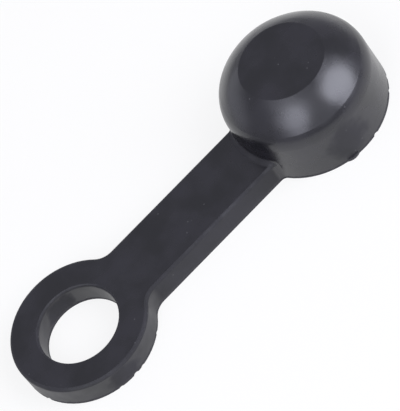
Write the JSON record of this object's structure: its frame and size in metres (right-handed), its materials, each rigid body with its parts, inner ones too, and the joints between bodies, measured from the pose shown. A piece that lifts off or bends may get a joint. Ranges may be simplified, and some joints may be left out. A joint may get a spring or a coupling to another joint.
{
  "type": "bleed screw cap",
  "caption": "Rubber dust cap for a bleed screw: a cap with a steep skirt, softly rounded rim, bulging shoulder, flat crown and blind bore, joined by a flat strap to a retaining ring.",
  "frame": {"origin": "centre of the cap's mouth, in the plane of the flat underside", "axes": "+Z along the cap's axis towards its closed crown, -X along the strap towards the ring"},
  "size_m": [0.0351, 0.012, 0.0066],
  "materials": {
    "rubber_black": "smooth moulded black rubber, satin"
  },
  "bodies": {
    "root": {"bleed_cap": "rubber_black"}
  },
  "joints": []
}
